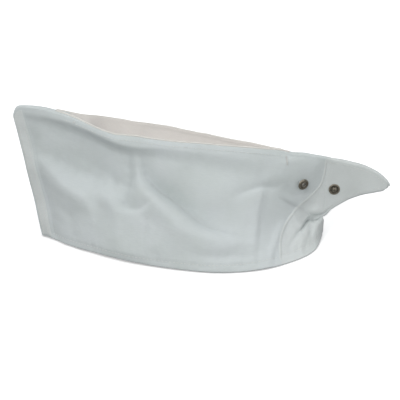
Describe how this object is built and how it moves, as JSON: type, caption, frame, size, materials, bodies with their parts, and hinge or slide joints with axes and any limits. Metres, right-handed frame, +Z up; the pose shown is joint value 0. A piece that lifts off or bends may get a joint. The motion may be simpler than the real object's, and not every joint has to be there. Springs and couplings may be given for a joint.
{
  "type": "cook's cap",
  "caption": "Boat-shaped white cotton cook's cap with a high front peak, a sunken crown gusset and a pointed tail that folds forward and fastens to the side with a press stud.",
  "frame": {"origin": "middle of the overall length and width, on the plane of the bottom edge", "axes": "+Z up; +X towards the tail, -X towards the front peak; -Y is the wearer's left, the side with the press stud"},
  "size_m": [0.2974, 0.1382, 0.111],
  "materials": {
    "panel_cotton": "matt white cotton twill, slightly cool",
    "rim_cotton": "the same twill doubled over a seam, a little lighter",
    "crown_cotton": "matt twill, warm off-white",
    "facing_tape": "plain-woven cotton tape",
    "thread": "twisted polyester thread, slight sheen",
    "snap_metal": "dark antique plating, satin, worn lighter on the raised edges",
    "spring_steel": "plain steel wire and pressed steel"
  },
  "bodies": {
    "cap": {"left_side_panel": "panel_cotton", "right_side_panel": "panel_cotton", "left_rear_panel": "panel_cotton", "right_rear_panel": "panel_cotton", "crown_gusset": "crown_cotton", "front_felled_strip": "rim_cotton", "front_seam_roll": "panel_cotton", "left_rim_roll": "rim_cotton", "right_rim_roll": "rim_cotton", "rear_top_roll": "panel_cotton", "rear_seam_roll": "panel_cotton", "left_lap_seam": "rim_cotton", "right_lap_seam": "rim_cotton", "bottom_hem": "panel_cotton", "inner_facing": "facing_tape", "hem_stitching": "thread", "left_rim_stitching": "thread", "right_rim_stitching": "thread", "front_stitching": "thread", "lap_stitching": "thread", "gusset_bar_tacks": "thread", "snap_socket": "snap_metal", "snap_socket_spring": "spring_steel", "snap_socket_rivet": "spring_steel"},
    "tail": {"left_tail_panel": "panel_cotton", "right_tail_panel": "panel_cotton", "tail_edge_roll": "panel_cotton", "tail_stitching": "thread", "snap_stud": "snap_metal", "snap_stud_rivet": "spring_steel"}
  },
  "joints": [
    {"name": "tail_fold", "type": "hinge", "parent": "cap", "child": "tail", "pos_m": [0.0902, -0.0033, 0.0446], "axis": [-0.2538, 0, -0.9673], "range_deg": [0, 152]}
  ]
}
